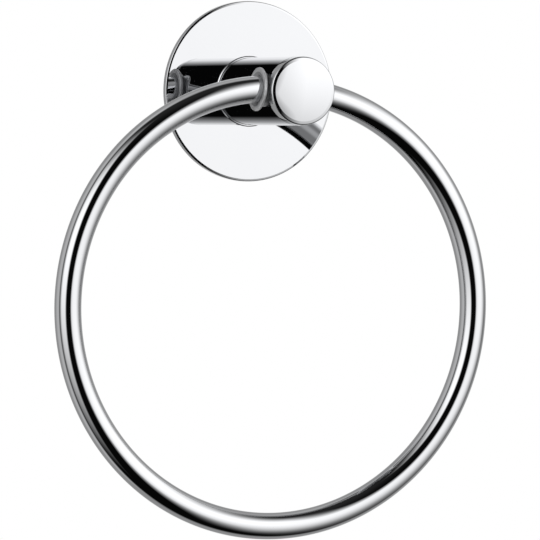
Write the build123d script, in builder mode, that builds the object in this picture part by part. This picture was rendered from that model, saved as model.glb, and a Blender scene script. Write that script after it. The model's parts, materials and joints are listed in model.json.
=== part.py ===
"""Towel ring: a bent tube ring that swings in plastic bushes at the end of a round wall post."""

import os
from math import acos, cos, degrees, radians, sin, sqrt, tan

from build123d import *

os.makedirs("parts", exist_ok=True)

# Driving sizes, in millimetres. The wall is the plane y = 0, and the post points along -Y.

# Rosette: the round cover disc
rosette_diameter = 63.0
rosette_thickness = 2.2
rosette_edge_radius = 0.45
rosette_bevel_width = 0.5
rosette_bevel_slope = 18.0
rosette_face = 0.8
rosette_rim = 1.5

# Wall bracket, hidden under the rosette
bracket_length = 50.0
bracket_width = 18.0
bracket_thickness = 1.2
screw_spacing = 36.0
screw_hole_diameter = 4.5
screw_sink_diameter = 6.6
stub_diameter = 15.9
stub_reach = 14.0

# Post and its end cap
post_diameter = 23.7
pivot_depth = 40.55
pivot_drop = 0.65
socket_spare = 1.5
edge_break = 0.2
foot_spread = 0.5
foot_height = 0.3
cap_side = 2.9
cap_draft = 2.0
cap_edge_radius = 0.7
cap_bevel_width = 0.8
cap_bevel_slope = 13.5
cap_crown_slope = 8.0
pin_diameter = 3.0
pin_length = 4.0
pin_height = 8.8

# Grub screw under the post
grub_diameter = 3.0
grub_distance = 8.0
grub_length = 4.2
grub_point = 1.0
grub_bite = 0.7
hex_across = 1.5
hex_depth = 1.6

# Ring: a tube bent to one radius below and a slightly tighter one towards its ends
ring_outside_diameter = 160.2
tube_diameter = 9.2
tube_wall = 1.0
shoulder_tightening = 1.8
shoulder_angle = 65.0
end_gap = 0.6

# Bushes round the tube's ends: a flanged one on the left and a plain one on the right
neck_diameter = 11.6
neck_length = 5.45
flange_diameter = 15.1
flange_thickness = 1.0
flange_rounding = 0.45
flange_standoff = 0.6
plain_setback = 0.3
mouth_depth = 0.45
mouth_flare = 1.4

# Clearances
socket_clearance = 0.05
rosette_clearance = 0.3
thread_clearance = 0.05
pin_clearance = 0.05
slot_clearance = 0.08
cap_clearance = 0.15
bore_clearance = 0.08

# Radii and places that follow
wall = Plane.XZ
rosette_radius = rosette_diameter / 2
post_radius = post_diameter / 2
stub_radius = stub_diameter / 2
grub_radius = grub_diameter / 2
neck_radius = neck_diameter / 2
tube_radius = tube_diameter / 2
bore_radius = tube_radius + bore_clearance
socket_radius = stub_radius + socket_clearance
slot_radius = neck_radius + slot_clearance
stub_end = bracket_thickness + stub_reach
pivot_z = -pivot_drop
seam_depth = pivot_depth + neck_radius + cap_clearance
grub_base = stub_radius - grub_bite + grub_point
grub_end = stub_radius - grub_bite + grub_length
flange_inside = post_radius + flange_standoff
flange_outside = flange_inside + flange_thickness
neck_inside = flange_inside - neck_length
plain_outside = post_radius - plain_setback

# The ring's arcs: each tighter shoulder crosses the pivot line as far out as the middle of the flange
ring_plane = wall.offset(pivot_depth)
ring_radius = ring_outside_diameter / 2 - tube_radius
shoulder_radius = ring_radius - shoulder_tightening
shoulder_shift = shoulder_tightening * sin(radians(shoulder_angle))
flange_middle = (flange_inside + flange_outside) / 2
shoulder_z = pivot_z - sqrt(shoulder_radius**2 - (flange_middle - shoulder_shift) ** 2)
ring_z = shoulder_z - shoulder_tightening * cos(radians(shoulder_angle))
end_angle = degrees(acos((end_gap / 2 - shoulder_shift) / shoulder_radius))
shoulder_sweep = end_angle - (90 - shoulder_angle)


# Rosette: a shallow cup with a hole for the stub, and a round edge and narrow bevel in front
with BuildPart() as rosette:
    with BuildSketch(Plane.XY):
        with BuildLine():
            bevel_drop = rosette_bevel_width * sin(radians(rosette_bevel_slope))
            edge_drop = rosette_edge_radius * cos(radians(rosette_bevel_slope))
            rim = Polyline(
                (0, 0),
                (rosette_radius, 0),
                (rosette_radius, bevel_drop + edge_drop - rosette_thickness),
            )
            rim_edge = JernArc(rim @ 1, rim % 1, rosette_edge_radius, rosette_bevel_slope - 90)
            rim_bevel = Line(rim_edge @ 1, rim_edge @ 1 + rim_edge % 1 * rosette_bevel_width)
            Polyline(rim_bevel @ 1, (0, -rosette_thickness), (0, 0))
        make_face()
    revolve(axis=Axis.Y)
    with BuildSketch(wall):
        Circle(rosette_radius - rosette_rim)
    extrude(amount=rosette_thickness - rosette_face, mode=Mode.SUBTRACT)
    with BuildSketch(wall):
        Circle(stub_radius + rosette_clearance)
    extrude(amount=rosette_thickness, mode=Mode.SUBTRACT)
rosette.part.label = "rosette"
export_step(rosette.part, "parts/rosette.step")


# Wall bracket: a flat plate with two sunk screw holes, and the stub that carries the post
with BuildPart() as wall_bracket:
    with BuildSketch(wall):
        SlotOverall(bracket_length, bracket_width)
    extrude(amount=bracket_thickness)
    with BuildSketch(wall.offset(bracket_thickness)):
        Circle(stub_radius)
    extrude(amount=stub_reach)
    chamfer(wall_bracket.faces().sort_by(Axis.Y)[0].edges(), edge_break)
    with Locations(wall.offset(bracket_thickness)):
        with GridLocations(screw_spacing, 0, 2, 1):
            CounterSinkHole(screw_hole_diameter / 2, screw_sink_diameter / 2, counter_sink_angle=90)
    # Cone seat for the grub screw's point
    with Locations((0, -grub_distance, thread_clearance - grub_base)):
        Cone(
            bottom_radius=grub_radius + thread_clearance,
            top_radius=grub_radius + thread_clearance - grub_point,
            height=grub_point,
            align=(Align.CENTER, Align.CENTER, Align.MIN),
            mode=Mode.SUBTRACT,
        )
wall_bracket.part.label = "wall_bracket"
export_step(wall_bracket.part, "parts/wall_bracket.step")


# Post: a round bar with a socket for the stub behind and a crossways slot open at the front
with BuildPart() as post:
    with BuildSketch(wall.offset(rosette_thickness)):
        Circle(post_radius)
    extrude(amount=seam_depth - rosette_thickness)
    chamfer(post.edges().sort_by(Axis.Y)[0], edge_break)
    # A thin collar with a sloped edge spreads the foot on the rosette
    with BuildSketch(wall.offset(rosette_thickness)):
        Circle(post_radius + foot_spread)
    extrude(amount=foot_height, taper=45)
    with BuildSketch(wall.offset(rosette_thickness)):
        Circle(socket_radius)
    extrude(amount=stub_end - rosette_thickness + socket_spare, mode=Mode.SUBTRACT)
    with BuildSketch(Plane.XY.offset(-post_radius)):
        with Locations((0, -grub_distance)):
            Circle(grub_radius + thread_clearance)
    extrude(amount=post_radius - socket_radius / 2, mode=Mode.SUBTRACT)
    # The slot's round floor carries the bush necks, and its mouth lets the ring in from the front
    with BuildSketch(Plane.YZ):
        with Locations((-pivot_depth, pivot_z)):
            Circle(slot_radius)
            Rectangle(seam_depth - pivot_depth, 2 * slot_radius, align=(Align.MAX, Align.CENTER))
    extrude(amount=post_radius, both=True, mode=Mode.SUBTRACT)
    with BuildSketch(wall.offset(seam_depth)):
        with GridLocations(0, 2 * pin_height, 1, 2):
            Circle(pin_diameter / 2 + pin_clearance)
    extrude(amount=-(pin_length + socket_spare), mode=Mode.SUBTRACT)
post.part.label = "post"
export_step(post.part, "parts/post.step")


# End cap: closes the slot, with a tapered side, a round edge and a bevel that leads into a crowned face
with BuildPart() as end_cap:
    with BuildSketch(Plane.XY):
        with BuildLine():
            cap_taper = (cap_side - edge_break) * tan(radians(cap_draft))
            side = Polyline(
                (0, -seam_depth),
                (post_radius - edge_break, -seam_depth),
                (post_radius, -seam_depth - edge_break),
                (post_radius - cap_taper, -seam_depth - cap_side),
            )
            edge = JernArc(side @ 1, side % 1, cap_edge_radius, cap_draft + cap_bevel_slope - 90)
            bevel = Line(edge @ 1, edge @ 1 + edge % 1 * cap_bevel_width)
            crown_start = (-cos(radians(cap_crown_slope)), -sin(radians(cap_crown_slope)))
            crown_radius = (bevel @ 1).X / sin(radians(cap_crown_slope))
            crown = JernArc(bevel @ 1, crown_start, crown_radius, -cap_crown_slope)
            Line(crown @ 1, side @ 0)
        make_face()
    revolve(axis=Axis.Y)
    # Two pins behind press into the post
    with BuildSketch(wall.offset(seam_depth)):
        with GridLocations(0, 2 * pin_height, 1, 2):
            Circle(pin_diameter / 2)
    extrude(amount=-pin_length)
end_cap.part.label = "end_cap"
export_step(end_cap.part, "parts/end_cap.step")


# Grub screw: cone point up into the stub, hexagon socket facing down
with BuildPart() as grub_screw:
    with BuildSketch(Plane.XY.offset(-grub_end)):
        with Locations((0, -grub_distance)):
            Circle(grub_radius)
    extrude(amount=grub_length)
    chamfer(grub_screw.faces().sort_by(Axis.Z)[-1].edges(), grub_point)
    with BuildSketch(Plane.XY.offset(-grub_end)):
        with Locations((0, -grub_distance)):
            RegularPolygon(hex_across / 2, 6, major_radius=False)
    extrude(amount=hex_depth, mode=Mode.SUBTRACT)
grub_screw.part.label = "grub_screw"
export_step(grub_screw.part, "parts/grub_screw.step")


# Ring: one tube swept from end to end, with both ends inside the post
with BuildPart() as ring:
    with BuildLine(ring_plane) as ring_path:
        CenterArc((shoulder_shift, shoulder_z), shoulder_radius, end_angle, -shoulder_sweep)
        CenterArc((0, ring_z), ring_radius, 90 - shoulder_angle, 2 * shoulder_angle - 360)
        CenterArc((-shoulder_shift, shoulder_z), shoulder_radius, 90 + shoulder_angle, -shoulder_sweep)
    with BuildSketch(Plane(ring_path.wire() @ 0, z_dir=ring_path.wire() % 0)):
        Circle(tube_radius)
        Circle(tube_radius - tube_wall, mode=Mode.SUBTRACT)
    sweep()
ring.part.label = "ring"
export_step(ring.part, "parts/ring.step")


# Left bush: a neck that turns in the slot, a round-edged flange outside, and a bore curved like the tube
with BuildPart() as bush_left:
    with BuildSketch(Plane.YZ.offset(-flange_inside)):
        with Locations((-pivot_depth, pivot_z)):
            Circle(neck_radius)
    extrude(amount=neck_length)
    with BuildSketch(Plane.YZ.offset(-flange_outside)):
        with Locations((-pivot_depth, pivot_z)):
            Circle(flange_diameter / 2)
    extrude(amount=flange_thickness)
    fillet(bush_left.edges().filter_by(GeomType.CIRCLE).group_by(SortBy.RADIUS)[-1], flange_rounding)
    with BuildLine(ring_plane) as left_bore:
        CenterArc((-shoulder_shift, shoulder_z), shoulder_radius, 90, shoulder_angle / 2)
    with BuildSketch(Plane(left_bore.wire() @ 0, z_dir=left_bore.wire() % 0)):
        Circle(bore_radius)
    sweep(mode=Mode.SUBTRACT)
    # The bore's mouth opens in a shallow dish
    with Locations(Location((-flange_outside, -pivot_depth, pivot_z), (0, -90, 0))):
        Cone(
            bottom_radius=bore_radius - mouth_flare,
            top_radius=bore_radius + mouth_flare,
            height=2 * mouth_depth,
            align=(Align.CENTER, Align.CENTER, Align.MAX),
            mode=Mode.SUBTRACT,
        )
bush_left.part.label = "bush_left"
export_step(bush_left.part, "parts/bush_left.step")


# Right bush: the same neck without a flange, ending just inside the post
with BuildPart() as bush_right:
    with BuildSketch(Plane.YZ.offset(neck_inside)):
        with Locations((-pivot_depth, pivot_z)):
            Circle(neck_radius)
    extrude(amount=plain_outside - neck_inside)
    chamfer(bush_right.edges().sort_by(Axis.X)[-1], edge_break)
    with BuildLine(ring_plane) as right_bore:
        CenterArc((shoulder_shift, shoulder_z), shoulder_radius, 90, -shoulder_angle / 2)
    with BuildSketch(Plane(right_bore.wire() @ 0, z_dir=right_bore.wire() % 0)):
        Circle(bore_radius)
    sweep(mode=Mode.SUBTRACT)
bush_right.part.label = "bush_right"
export_step(bush_right.part, "parts/bush_right.step")
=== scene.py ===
import json
import math

import bpy
from mathutils import Matrix, Quaternion, Vector


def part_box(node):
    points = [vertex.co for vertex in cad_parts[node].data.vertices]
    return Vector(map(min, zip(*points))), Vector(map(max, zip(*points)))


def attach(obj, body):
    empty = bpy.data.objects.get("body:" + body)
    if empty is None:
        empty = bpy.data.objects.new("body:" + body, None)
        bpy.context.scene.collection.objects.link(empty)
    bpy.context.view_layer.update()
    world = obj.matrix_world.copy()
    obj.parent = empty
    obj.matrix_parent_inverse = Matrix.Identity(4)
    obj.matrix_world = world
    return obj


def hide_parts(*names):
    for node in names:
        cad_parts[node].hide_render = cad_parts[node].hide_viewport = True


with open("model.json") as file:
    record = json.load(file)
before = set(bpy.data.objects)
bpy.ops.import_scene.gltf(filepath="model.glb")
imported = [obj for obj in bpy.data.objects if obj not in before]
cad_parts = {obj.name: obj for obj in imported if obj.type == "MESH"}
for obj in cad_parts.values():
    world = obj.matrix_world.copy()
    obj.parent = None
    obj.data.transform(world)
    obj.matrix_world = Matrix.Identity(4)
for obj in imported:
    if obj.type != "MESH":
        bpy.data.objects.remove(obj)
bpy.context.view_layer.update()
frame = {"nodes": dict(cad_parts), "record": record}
pivot = Vector(frame["record"]["behaviour"]["joints"][0]["pos_m"])  # middle of the swing axis
quarterTurn = math.radians(90)
print("frame loaded:", ", ".join(sorted(frame["nodes"])))


# a socket that can be written in sums
class Wire:
    def __init__(self, tree, socket):
        self.tree = tree
        self.socket = socket

    def node(self, kind, settings=None, inputs=None, output=0):
        return addNode(self.tree, kind, settings, inputs, output)

    def maths(self, operation, *values):
        return self.node("ShaderNodeMath", {"operation": operation}, dict(enumerate(values)))

    def __add__(self, other):
        return self.maths("ADD", self, other)

    def __radd__(self, other):
        return self.maths("ADD", other, self)

    def __sub__(self, other):
        return self.maths("SUBTRACT", self, other)

    def __rsub__(self, other):
        return self.maths("SUBTRACT", other, self)

    def __mul__(self, other):
        return self.maths("MULTIPLY", self, other)

    def __rmul__(self, other):
        return self.maths("MULTIPLY", other, self)

    def __neg__(self):
        return self.maths("MULTIPLY", self, -1.0)

    def __abs__(self):
        return self.maths("ABSOLUTE", self)

    def rise(self, low, high):  # 0 below low, 1 above high, soft in between
        settings = {"interpolation_type": "SMOOTHSTEP"}
        return self.node("ShaderNodeMapRange", settings, {0: self, 1: low, 2: high})

    def fall(self, low, high):
        return 1 - self.rise(low, high)

    def ramp(self, low, high):  # a rise with straight sides
        return self.node("ShaderNodeMapRange", None, {0: self, 1: low, 2: high})


def addNode(tree, kind, settings=None, inputs=None, output=0):
    node = tree.nodes.new(kind)
    for name, value in (settings or {}).items():
        setattr(node, name, value)
    for name, value in (inputs or {}).items():
        if isinstance(value, Wire):
            tree.links.new(value.socket, node.inputs[name])
        else:
            node.inputs[name].default_value = value
    return Wire(tree, node.outputs[output])


def feed(shader, name, wire):
    wire.tree.links.new(wire.socket, shader.inputs[name])


# studio: two soft panels with a dark gap between them, as the chrome mirrors them
# turn is 0 straight out of the wall and grows to the right, height is 0 level, both in degrees
studio = {
    "panelLevel": 1.6,
    "gapLevel": 0.003,
    "bottom": (-66, 20),  # both panels come out of the dark below
    "rightEdge": (0, 9),  # the right panel's side next to the gap
    "rightLean": (-0.06, 0.15),  # how its start moves with height, and away from level
    "rightSpread": 0.35,  # how its end moves away from level
    "rightSoft": 8,  # and how much further below level
    "softBelow": (0, 12),
    "rightGrade": (5, 24),
    "gradeLevel": (0.78, 0.23),  # next to the gap, and what the grade adds
    "rightFade": (43, 107),  # the panel's far side
    "fadeLean": (0.7, 0.4),
    "rightTop": (28, 72),
    "leftEdge": (33, 47),
    "leftFade": (72, 98),
    "leftTop": (21, 64),
    "backLevel": 0.38,  # the background, at the grey that the chrome shows
    "back": (0, 0.32),  # it starts at the wall, by the direction's y
    "backTop": 0.14,  # added high up
    "topRise": (40, 70),
    "backRight": 0.35,  # added in a patch on the right
    "glowRight": ((110, 155), (160, 178)),
    "glowHeight": ((-40, -15), (5, 30)),
    "backLeft": 0.25,  # added in a band on the left
    "glowLeft": ((92, 110), (120, 155)),
    "ceiling": 0.022,
    "ceilingRise": (25, 80),
}


def rightPanel(turn, height):
    lean, spread = studio["rightLean"]
    start, end = studio["rightEdge"]
    edgeLow = height * lean + abs(height) * spread + start
    soft = (-height).rise(*studio["softBelow"]) * studio["rightSoft"]
    edgeHigh = abs(height) * studio["rightSpread"] + soft + end
    lean, spread = studio["fadeLean"]
    start, end = studio["rightFade"]
    fadeLow = height * lean + start
    fadeHigh = abs(height) * spread + end
    panel = turn.ramp(edgeLow, edgeHigh) * turn.fall(fadeLow, fadeHigh)
    least, gain = studio["gradeLevel"]
    grade = turn.ramp(*studio["rightGrade"]) * gain + least  # brighter away from the gap
    return panel * grade * height.fall(*studio["rightTop"])


def leftPanel(turn, height):
    panel = (-turn).rise(*studio["leftEdge"]) * (-turn).fall(*studio["leftFade"])
    return panel * height.fall(*studio["leftTop"])


def background(turn, height, y):
    start, end = studio["glowRight"]
    base, top = studio["glowHeight"]
    glowRight = turn.rise(*start) * turn.fall(*end) * height.rise(*base) * height.fall(*top)
    start, end = studio["glowLeft"]
    glowLeft = (-turn).rise(*start) * (-turn).fall(*end)
    level = glowRight * studio["backRight"] + glowLeft * studio["backLeft"] + studio["backLevel"]
    level = level + height.rise(*studio["topRise"]) * studio["backTop"]
    return level * y.rise(*studio["back"])


def buildWorld():
    world = bpy.data.worlds.new("studio")
    world.use_nodes = True
    shader = world.node_tree.nodes["Background"]
    shader.inputs["Color"].default_value = (1, 1, 1, 1)
    ray = addNode(world.node_tree, "ShaderNodeTexCoord")
    x, y, z = (ray.node("ShaderNodeSeparateXYZ", None, {0: ray}, axis) for axis in "XYZ")
    turn = ray.maths("ARCTAN2", x, -y) * math.degrees(1)
    height = ray.maths("ARCSINE", z) * math.degrees(1)
    low = height.rise(*studio["bottom"])
    panels = rightPanel(turn, height) * low + leftPanel(turn, height) * low
    ceiling = height.rise(*studio["ceilingRise"]) * studio["ceiling"]
    light = panels * studio["panelLevel"] + ceiling + studio["gapLevel"]
    camera = ray.node("ShaderNodeLightPath", None, None, "Is Camera Ray")
    glossy = ray.node("ShaderNodeLightPath", None, None, "Is Glossy Ray")
    clear = ray.node("ShaderNodeLightPath", None, None, "Is Transmission Ray")
    # metal shows the background too, in a grey shade, and the camera sees it white
    mirrored = background(turn, height, y) * ray.maths("MAXIMUM", glossy, clear)
    feed(shader, "Strength", (light + mirrored) * (1 - camera) + camera)
    bpy.context.scene.world = world
    print("studio lit")


buildWorld()


# materials
def newMaterial(name):
    material = bpy.data.materials.new(name)
    material.use_nodes = True
    shader = material.node_tree.nodes["Principled BSDF"]
    place = addNode(material.node_tree, "ShaderNodeTexCoord", None, None, "Object")
    return material, shader, place


def noise(place, scale, detail):
    return place.node("ShaderNodeTexNoise", None, {"Vector": place, "Scale": scale, "Detail": detail})


def blend(mask, first, second):  # colours need a Mix node
    return mask.node("ShaderNodeMix", {"data_type": "RGBA"}, {0: mask, 6: first, 7: second}, 2)


def between(mask, low, high):  # the same for numbers
    return mask * (high - low) + low


chromeFinish = {
    "bright": (0.655, 0.66, 0.67, 1),
    "dull": (0.63, 0.635, 0.65, 1),
    "cloud": (26.0, 3.0),  # scale and detail, as for every noise here
    "smear": (230.0, 5.0),
    "smearEdge": (0.35, 0.75),
    "roughness": (0.012, 0.03),
}


def makeChrome():
    finish = chromeFinish
    material, shader, place = newMaterial("polishedChrome")
    shader.inputs["Metallic"].default_value = 1
    cloud = noise(place, *finish["cloud"])
    smear = noise(place, *finish["smear"]).rise(*finish["smearEdge"])
    feed(shader, "Base Color", blend(cloud, finish["dull"], finish["bright"]))
    feed(shader, "Roughness", between(smear, *finish["roughness"]))
    return material


plasticFinish = {
    "pale": (0.8, 0.805, 0.815, 1),
    "deep": (0.73, 0.735, 0.745, 1),
    "cloud": (140.0, 2.0),
    "grain": (700.0, 4.0),
    "grainHeight": 0.00002,
    "roughness": (0.28, 0.46),
    "metallic": 0.4,
    # painted shade for the bush's dished mouth, darker than the plastic itself
    "mouth": (0.4, 0.405, 0.415, 1),
    "mouthEdge": (0.0058, 0.0062),  # distance from the swing axis where the painted shade ends
}


def makePlastic():
    finish = plasticFinish
    material, shader, place = newMaterial("greyPlastic")
    shader.inputs["Metallic"].default_value = finish["metallic"]
    cloud = noise(place, *finish["cloud"])
    grain = noise(place, *finish["grain"])
    body = blend(cloud, finish["deep"], finish["pale"])
    across = place.node("ShaderNodeVectorMath", {"operation": "MULTIPLY"}, {0: place, 1: (0, 1, 1)})
    axis = (0, pivot.y, pivot.z)
    reach = place.node("ShaderNodeVectorMath", {"operation": "DISTANCE"}, {0: across, 1: axis}, 1)
    beyondPaintedShade = reach.rise(*finish["mouthEdge"])  # painted shade: the dished mouth of the bore is painted darker, as if shade fell in the recess
    feed(shader, "Base Color", blend(beyondPaintedShade, finish["mouth"], body))
    feed(shader, "Roughness", between(grain, *finish["roughness"]))
    bump = {"Height": grain, "Distance": finish["grainHeight"]}
    feed(shader, "Normal", grain.node("ShaderNodeBump", None, bump))
    return material


steelFinish = {
    "pale": (0.66, 0.66, 0.67, 1),
    "deep": (0.5, 0.5, 0.52, 1),
    "spangle": (240.0, 4.0),
    "roughness": (0.28, 0.45),
}


def makeSteel():
    finish = steelFinish
    material, shader, place = newMaterial("zincedSteel")
    shader.inputs["Metallic"].default_value = 1
    spangle = noise(place, *finish["spangle"])
    feed(shader, "Base Color", blend(spangle, finish["deep"], finish["pale"]))
    feed(shader, "Roughness", between(spangle, *finish["roughness"]))
    return material


chrome = makeChrome()
plastic = makePlastic()
steel = makeSteel()
nodeFinishes = {"wall_bracket": steel, "grub_screw": steel, "bush_right": plastic}  # kept CAD nodes
for nodeName, material in nodeFinishes.items():
    frame["nodes"][nodeName].data.materials.clear()
    frame["nodes"][nodeName].data.materials.append(material)
print("finishes mixed")

# modelling helpers
samePoint = 0.000001  # points closer than this are merged
startSize = 0.001
barPoints = 64
alongPost = (quarterTurn, 0, 0)


# a section drawn from point to point in edit mode, then turned into a piece
class Section:
    def __init__(self, name, place):
        bpy.ops.object.select_all(action="DESELECT")
        bpy.ops.mesh.primitive_plane_add(size=startSize)
        self.piece = bpy.context.object
        self.piece.name = name
        self.place = Vector(place)
        bpy.ops.object.mode_set(mode="EDIT")
        bpy.ops.mesh.select_all(action="SELECT")
        bpy.ops.mesh.merge(type="CENTER")  # the plane shrinks to the section's first point
        bpy.ops.transform.translate(value=self.place)

    def line(self, *place):
        step = Vector(place) - self.place
        bpy.ops.mesh.extrude_region_move(TRANSFORM_OT_translate={"value": step})
        self.place = Vector(place)

    def arc(self, centre, turn, steps):  # counterclockwise seen from above
        centre = Vector(centre)
        bpy.ops.mesh.spin(steps=steps, angle=turn, center=centre, axis=(0, 0, -1))
        self.place = centre + Matrix.Rotation(turn, 3, "Z") @ (self.place - centre)

    def revolve(self, centre, axis, steps):
        bpy.ops.mesh.select_all(action="SELECT")
        bpy.ops.mesh.spin(steps=steps, angle=math.tau, center=centre, axis=axis)
        closeMesh()
        bpy.ops.object.mode_set(mode="OBJECT")
        return self.piece


def closeMesh():
    bpy.ops.mesh.select_all(action="SELECT")
    bpy.ops.mesh.remove_doubles(threshold=samePoint)
    bpy.ops.mesh.normals_make_consistent(inside=False)


def makeActive(piece):
    bpy.ops.object.select_all(action="DESELECT")
    piece.select_set(True)
    bpy.context.view_layer.objects.active = piece


def selectPoints(piece, test):
    bpy.ops.mesh.select_mode(type="VERT")
    bpy.ops.mesh.select_all(action="DESELECT")
    bpy.ops.object.mode_set(mode="OBJECT")
    for point in piece.data.vertices:
        point.select = test(point.co)
    bpy.ops.object.mode_set(mode="EDIT")


def roundBar(radius, length, place, turn):  # a drill or a pin
    bpy.ops.object.select_all(action="DESELECT")
    size = {"vertices": barPoints, "radius": radius, "depth": length}
    bpy.ops.mesh.primitive_cylinder_add(**size, location=place, rotation=turn)
    bpy.ops.object.transform_apply(location=True, rotation=True, scale=True)
    return bpy.context.object


def combine(piece, other, operation):
    makeActive(piece)
    step = piece.modifiers.new("step", "BOOLEAN")
    step.operation = operation
    step.solver = "EXACT"
    step.object = other
    bpy.ops.object.modifier_apply(modifier=step.name)
    bpy.data.objects.remove(other)
    bpy.ops.object.mode_set(mode="EDIT")
    closeMesh()  # the step can leave points on top of each other
    bpy.ops.object.mode_set(mode="OBJECT")


def dress(piece, node, body, material, crease):  # edges sharper than the crease stay crisp
    makeActive(piece)
    bpy.ops.object.shade_smooth_by_angle(angle=crease)
    even = piece.modifiers.new("even", "WEIGHTED_NORMAL")
    even.keep_sharp = True
    bpy.ops.object.modifier_apply(modifier=even.name)
    piece.data.materials.clear()
    piece.data.materials.append(material)
    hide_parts(node)
    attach(piece, body)
    print(piece.name, "modelled with", len(piece.data.polygons), "faces")


# places read from the frame
postAxis = ((0, 0, 0), (0, 1, 0))
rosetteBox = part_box("rosette")
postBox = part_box("post")
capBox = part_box("end_cap")
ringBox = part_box("ring")
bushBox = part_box("bush_left")
rosetteRadius = rosetteBox[1][0]
rosetteFront = rosetteBox[0][1]
postRadius = capBox[1][0]
seam = postBox[0][1]  # where the cap meets the post


# rosette: a shallow cup with a round edge and a narrow bevel in front
rosetteShape = {
    "edgeRadius": 0.00045,
    "edgeSteps": 20,
    "bevelWidth": 0.0005,
    "bevelSlope": math.radians(18),
    "face": 0.0008,
    "rim": 0.0015,
    "holeRadius": 0.00825,
    "steps": 320,
    "crease": math.radians(5),
}


def buildRosette():
    shape = rosetteShape
    inside = rosetteFront + shape["face"]
    rimInside = rosetteRadius - shape["rim"]
    edge, bevel, slope = shape["edgeRadius"], shape["bevelWidth"], shape["bevelSlope"]
    side = rosetteFront + edge * math.cos(slope) + bevel * math.sin(slope)
    section = Section("rosetteCup", (shape["holeRadius"], inside, 0))
    section.line(rimInside, inside, 0)
    section.line(rimInside, 0, 0)
    section.line(rosetteRadius, 0, 0)
    section.line(rosetteRadius, side, 0)
    section.arc(section.place - Vector((edge, 0, 0)), slope - quarterTurn, shape["edgeSteps"])
    section.line(section.place.x - bevel * math.cos(slope), rosetteFront, 0)
    section.line(shape["holeRadius"], rosetteFront, 0)
    section.line(shape["holeRadius"], inside, 0)
    piece = section.revolve(*postAxis, shape["steps"])
    dress(piece, "rosette", "holder", chrome, shape["crease"])


buildRosette()


# post: a round bar with a socket behind, a crossways slot in front, pin holes and a grub hole
postShape = {
    "footSpread": 0.0005,
    "footHeight": 0.0003,
    "frontBreak": 0.0002,
    "socketRadius": 0.008,
    "socketEnd": -0.0167,
    "slotRadius": 0.00588,
    "slotPoints": 96,
    "slotStart": -0.015,  # the cutter is longer than the post is wide
    "slotLength": 0.03,
    "slotMouth": 0.008,  # from the swing axis out past the seam
    "slotEdge": 0.00001,  # tells the slot's straight sides from its floor
    "pinHole": 0.00155,
    "pinDepth": 0.0055,
    "pinHeight": 0.0088,
    "grubHole": 0.00155,
    "grubPlace": -0.008,
    "grubStart": 0.002,  # the drill starts this far below the post
    "steps": 320,
    "crease": math.radians(25),
}


def slotCutter():
    shape = postShape
    bpy.ops.object.select_all(action="DESELECT")
    bpy.ops.mesh.primitive_circle_add(
        vertices=shape["slotPoints"],
        radius=shape["slotRadius"],
        location=(shape["slotStart"], pivot.y, pivot.z),
        rotation=(0, quarterTurn, 0),
    )
    cutter = bpy.context.object
    bpy.ops.object.transform_apply(location=True, rotation=True, scale=True)
    bpy.ops.object.mode_set(mode="EDIT")
    selectPoints(cutter, lambda spot: spot.y < pivot.y - shape["slotEdge"])
    bpy.ops.mesh.delete(type="VERT")  # the back half stays as the slot's floor
    selectPoints(cutter, lambda spot: spot.y < pivot.y + shape["slotEdge"])
    bpy.ops.mesh.extrude_region_move(TRANSFORM_OT_translate={"value": (0, -shape["slotMouth"], 0)})
    bpy.ops.mesh.edge_face_add()
    bpy.ops.mesh.select_all(action="SELECT")
    bpy.ops.mesh.edge_face_add()
    bpy.ops.mesh.extrude_region_move(TRANSFORM_OT_translate={"value": (shape["slotLength"], 0, 0)})
    closeMesh()
    bpy.ops.object.mode_set(mode="OBJECT")
    return cutter


def grubDrill():
    shape = postShape
    depth = postRadius - shape["socketRadius"] / 2  # ends inside the socket
    spot = (0, shape["grubPlace"], -postRadius + depth / 2 - shape["grubStart"] / 2)
    return roundBar(shape["grubHole"], depth + shape["grubStart"], spot, (0, 0, 0))


def buildPost():
    shape = postShape
    base = rosetteFront
    section = Section("postBar", (0, seam, 0))
    section.line(postRadius - shape["frontBreak"], seam, 0)
    section.line(postRadius, seam + shape["frontBreak"], 0)
    foot = base - shape["footHeight"]
    section.line(postRadius, foot, 0)
    section.line(postRadius + shape["footSpread"] - shape["footHeight"], foot, 0)
    section.line(postRadius + shape["footSpread"], base, 0)
    section.line(shape["socketRadius"], base, 0)
    section.line(shape["socketRadius"], shape["socketEnd"], 0)
    section.line(0, shape["socketEnd"], 0)
    piece = section.revolve(*postAxis, shape["steps"])
    combine(piece, slotCutter(), "DIFFERENCE")
    for way in (-1, 1):  # below and above the slot
        spot = (0, seam, way * shape["pinHeight"])
        hole = roundBar(shape["pinHole"], 2 * shape["pinDepth"], spot, alongPost)
        combine(piece, hole, "DIFFERENCE")
    combine(piece, grubDrill(), "DIFFERENCE")
    dress(piece, "post", "holder", chrome, shape["crease"])


buildPost()


# end cap: a tapered side, a round edge, a bevel, a crowned face and two pins behind
capShape = {
    "backBreak": 0.0002,
    "side": 0.0029,
    "draft": math.radians(2),
    "edgeRadius": 0.0007,
    "edgeSteps": 20,
    "bevelWidth": 0.0008,
    "bevelSlope": math.radians(13.5),
    "crownSlope": math.radians(8),
    "crownSteps": 20,
    "pinRadius": 0.0015,
    "pinLength": 0.004,
    "pinRoot": 0.0005,  # stands inside the cap
    "steps": 320,
    "crease": math.radians(5),
}


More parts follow.
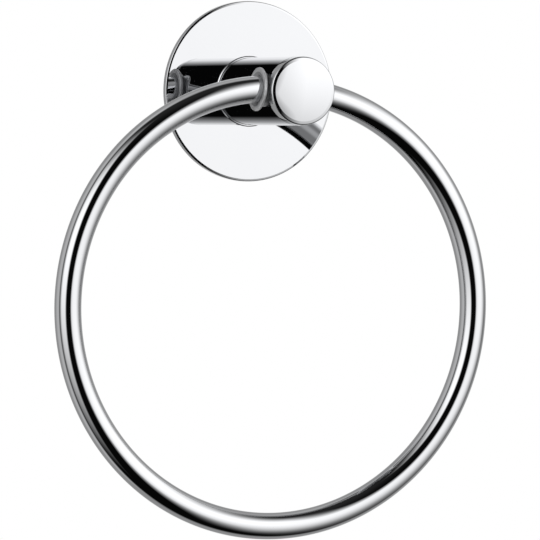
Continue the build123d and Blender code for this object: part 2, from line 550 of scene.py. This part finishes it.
def buildCap():
    shape = capShape
    draft, bevel, crown = shape["draft"], shape["bevelSlope"], shape["crownSlope"]
    section = Section("capCrown", (0, seam, 0))
    section.line(postRadius - shape["backBreak"], seam, 0)
    section.line(postRadius, seam - shape["backBreak"], 0)
    taper = (shape["side"] - shape["backBreak"]) * math.tan(draft)
    section.line(postRadius - taper, seam - shape["side"], 0)
    outwards = Vector((math.cos(draft), -math.sin(draft), 0))
    edgeCentre = section.place - outwards * shape["edgeRadius"]
    section.arc(edgeCentre, draft + bevel - quarterTurn, shape["edgeSteps"])
    downhill = Vector((math.cos(bevel), math.sin(bevel), 0))
    section.line(*(section.place - downhill * shape["bevelWidth"]))
    crownRadius = section.place.x / math.sin(crown)
    outwards = Vector((math.sin(crown), -math.cos(crown), 0))
    section.arc(section.place - outwards * crownRadius, -crown, shape["crownSteps"])
    piece = section.revolve(*postAxis, shape["steps"])
    pinLength = shape["pinLength"] + shape["pinRoot"]
    for way in (-1, 1):
        spot = (0, seam - shape["pinRoot"] + pinLength / 2, way * postShape["pinHeight"])
        pin = roundBar(shape["pinRadius"], pinLength, spot, alongPost)
        combine(piece, pin, "UNION")
    dress(piece, "end_cap", "holder", chrome, shape["crease"])


buildCap()


# bush on the left: a neck in the slot, a round-edged flange and a dished mouth
bushShape = {
    "neckRadius": 0.0058,
    "flange": 0.001,
    "rounding": 0.00045,
    "roundSteps": 8,
    "boreRadius": 0.00468,
    "borePoints": 96,
    "boreSteps": 40,
    "mouthDepth": 0.00045,
    "mouthFlare": 0.0014,
    "steps": 192,
    "crease": math.radians(25),
}

# ring: a tube swept along one long arc and two tighter shoulders
ringShape = {
    "tightening": 0.0018,
    "shoulderAngle": math.radians(65),
    "endGap": 0.0006,
    "wall": 0.001,
    "tubePoints": 72,
    "bendSteps": 230,
    "shoulderSteps": 60,
    "crease": math.radians(25),
}
tubeRadius = (ringBox[1][1] - ringBox[0][1]) / 2
ringRadius = ringBox[1][0] - tubeRadius
shoulderRadius = ringRadius - ringShape["tightening"]
shoulderShift = ringShape["tightening"] * math.sin(ringShape["shoulderAngle"])
crossing = -bushBox[0][0] - bushShape["flange"] / 2  # the tube meets the pivot line inside the flange
shoulderZ = pivot.z - math.sqrt(shoulderRadius**2 - (crossing - shoulderShift) ** 2)
ringZ = shoulderZ - ringShape["tightening"] * math.cos(ringShape["shoulderAngle"])
rightShoulder = (shoulderShift, pivot.y, shoulderZ)
leftShoulder = (-shoulderShift, pivot.y, shoulderZ)
ringMiddle = (0, pivot.y, ringZ)


def startTube(name, radius, points, centre, reach, angle):  # a loop across the tube's path
    spot = (centre[0] + reach * math.cos(angle), centre[1], centre[2] + reach * math.sin(angle))
    size = {"vertices": points, "radius": radius}
    bpy.ops.object.select_all(action="DESELECT")
    bpy.ops.mesh.primitive_circle_add(**size, location=spot, rotation=(0, -angle, 0))
    loop = bpy.context.object
    loop.name = name
    bpy.ops.object.transform_apply(location=True, rotation=True, scale=True)
    bpy.ops.object.mode_set(mode="EDIT")
    bpy.ops.mesh.select_all(action="SELECT")
    return loop


def sweepTube(centre, turn, steps):
    bpy.ops.mesh.spin(steps=steps, angle=turn, center=centre, axis=(0, 1, 0))


def buildRing():
    shape = ringShape
    end = math.acos((shape["endGap"] / 2 - shoulderShift) / shoulderRadius)
    shoulderTurn = end - quarterTurn + shape["shoulderAngle"]
    piece = startTube("ringTube", tubeRadius, shape["tubePoints"], rightShoulder, shoulderRadius, end)
    sweepTube(rightShoulder, -shoulderTurn, shape["shoulderSteps"])
    sweepTube(ringMiddle, 2 * shape["shoulderAngle"] - math.tau, shape["bendSteps"])
    sweepTube(leftShoulder, -shoulderTurn, shape["shoulderSteps"])
    closeMesh()
    bpy.ops.object.mode_set(mode="OBJECT")
    wall = piece.modifiers.new("wall", "SOLIDIFY")
    wall.thickness = shape["wall"]
    wall.offset = -1
    bpy.ops.object.modifier_apply(modifier=wall.name)
    dress(piece, "ring", "ring", chrome, shape["crease"])


buildRing()


def boreCutter():  # follows the tube's shoulder from the top
    shape = bushShape
    size = (shape["boreRadius"], shape["borePoints"])
    cutter = startTube("bore", *size, leftShoulder, shoulderRadius, quarterTurn)
    bpy.ops.mesh.edge_face_add()
    sweepTube(leftShoulder, ringShape["shoulderAngle"] / 2, shape["boreSteps"])
    closeMesh()
    bpy.ops.object.mode_set(mode="OBJECT")
    return cutter


def buildBush():
    shape = bushShape
    outside, inside = bushBox[0][0], bushBox[1][0]
    back = outside + shape["flange"]
    rounding, roundSteps = shape["rounding"], shape["roundSteps"]
    flangeRadius = (bushBox[1][1] - bushBox[0][1]) / 2
    roundY = pivot.y - flangeRadius + rounding
    neckY = pivot.y - shape["neckRadius"]
    dish = outside + 2 * shape["mouthDepth"]
    section = Section("flangedBush", (inside, pivot.y, pivot.z))
    section.line(inside, neckY, pivot.z)
    section.line(back, neckY, pivot.z)
    section.line(back, roundY, pivot.z)
    section.arc((back - rounding, roundY, pivot.z), -quarterTurn, roundSteps)
    section.line(outside + rounding, roundY - rounding, pivot.z)
    section.arc((outside + rounding, roundY, pivot.z), -quarterTurn, roundSteps)
    section.line(outside, pivot.y - shape["boreRadius"] - shape["mouthFlare"], pivot.z)
    section.line(dish, pivot.y - shape["boreRadius"] + shape["mouthFlare"], pivot.z)
    section.line(dish, pivot.y, pivot.z)
    piece = section.revolve(pivot, (1, 0, 0), shape["steps"])
    combine(piece, boreCutter(), "DIFFERENCE")
    dress(piece, "bush_left", "ring", plastic, shape["crease"])


buildBush()


# floor
floorShape = {
    "drop": 1.2,  # a usual height on the wall
    "size": 40.0,
    "pale": (0.9, 0.9, 0.9, 1),
    "dim": (0.84, 0.84, 0.84, 1),
    "cloud": (3.0, 2.0),
    "glow": 0.45,
}


def buildFloor():
    shape = floorShape
    bpy.ops.object.select_all(action="DESELECT")
    bpy.ops.mesh.primitive_plane_add(size=shape["size"], location=(0, 0, -shape["drop"]))
    floor = bpy.context.object
    floor.name = "floor"
    floor.visible_glossy = False
    material, shader, place = newMaterial("paleFloor")
    cloud = noise(place, *shape["cloud"])
    feed(shader, "Base Color", blend(cloud, shape["dim"], shape["pale"]))
    camera = place.node("ShaderNodeLightPath", None, None, "Is Camera Ray")
    feed(shader, "Emission Color", camera * shape["glow"])  # pale for the camera alone
    shader.inputs["Emission Strength"].default_value = 1
    floor.data.materials.append(material)
    print("floor laid")


buildFloor()


# camera
cameraView = {
    "place": (-0.78, -1.86571, -0.08249),
    "aim": (-0.00241, -0.04046, -0.06192),
    "roll": math.radians(5.12),
    "lens": 385.55,
}


def buildCamera():
    data = bpy.data.cameras.new("camera")
    data.lens = cameraView["lens"]
    camera = bpy.data.objects.new("camera", data)
    bpy.context.scene.collection.objects.link(camera)
    place = Vector(cameraView["place"])
    look = (Vector(cameraView["aim"]) - place).to_track_quat("-Z", "Y")
    camera.rotation_mode = "QUATERNION"
    camera.location = place
    camera.rotation_quaternion = look @ Quaternion((0, 0, 1), cameraView["roll"])
    bpy.context.scene.camera = camera
    print("camera set")


buildCamera()
bpy.context.scene.view_settings.view_transform = "Standard"
